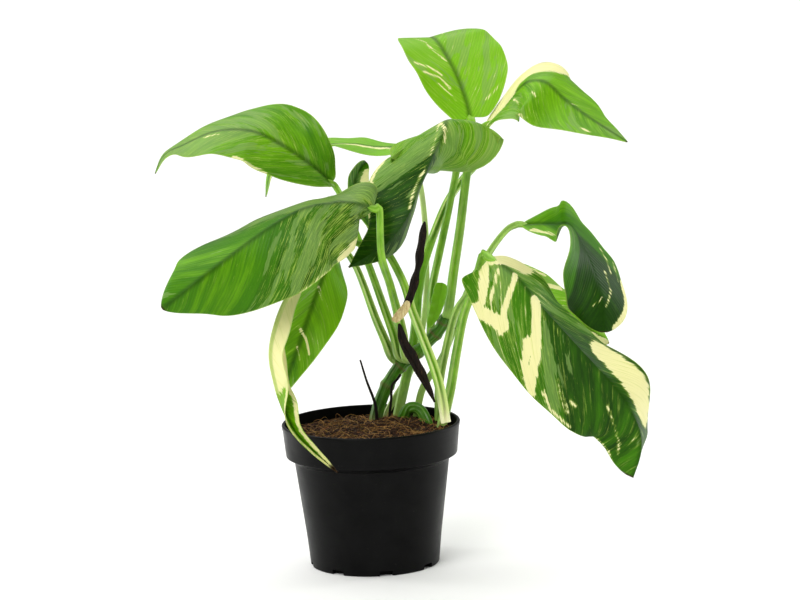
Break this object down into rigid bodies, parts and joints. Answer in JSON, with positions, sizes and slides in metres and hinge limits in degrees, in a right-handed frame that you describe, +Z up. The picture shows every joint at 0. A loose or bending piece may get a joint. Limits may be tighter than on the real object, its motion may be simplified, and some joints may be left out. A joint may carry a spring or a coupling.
{
  "type": "potted variegated monstera",
  "caption": "Climbing foliage plant with long oval leaves splashed cream and green on upright stalks, rooted in soil in a round black plastic nursery pot.",
  "frame": {"origin": "centre of the pot's flat underside", "axes": "+Z up, -Y the side the plant is looked at from, +X to its right"},
  "size_m": [0.3217, 0.1997, 0.3523],
  "materials": {
    "leaf": "waxy green with cream variegation",
    "petiole": "satin green",
    "stem": "satin dark green",
    "dried_sheath": "dry and matt, dark brown",
    "black_plastic": "satin black, thermoformed",
    "potting_soil": "loose brown fibre and peat"
  },
  "bodies": {
    "root": {"aerial_root_long": "dried_sheath", "aerial_root_short": "dried_sheath", "blade_behind_left": "leaf", "blade_drooping": "leaf", "blade_folded": "leaf", "blade_hanging": "leaf", "blade_middle_left": "leaf", "blade_right_arching": "leaf", "blade_right_behind": "leaf", "blade_right_large": "leaf", "blade_small_upright": "leaf", "blade_top": "leaf", "blade_top_right": "leaf", "blade_upper_left": "leaf", "dry_strand": "dried_sheath", "petiole_behind_left": "petiole", "petiole_drooping": "petiole", "petiole_folded": "petiole", "petiole_hanging": "petiole", "petiole_middle_left": "petiole", "petiole_over_rim": "petiole", "petiole_right_arching": "petiole", "petiole_right_behind": "petiole", "petiole_right_large": "petiole", "petiole_top": "petiole", "petiole_top_right": "petiole", "petiole_upper_left": "petiole", "pot": "black_plastic", "rhizome": "stem", "sheath_dry_lower": "dried_sheath", "sheath_dry_upper": "dried_sheath", "sheath_short": "petiole", "soil": "potting_soil", "vine": "stem"}
  },
  "joints": []
}
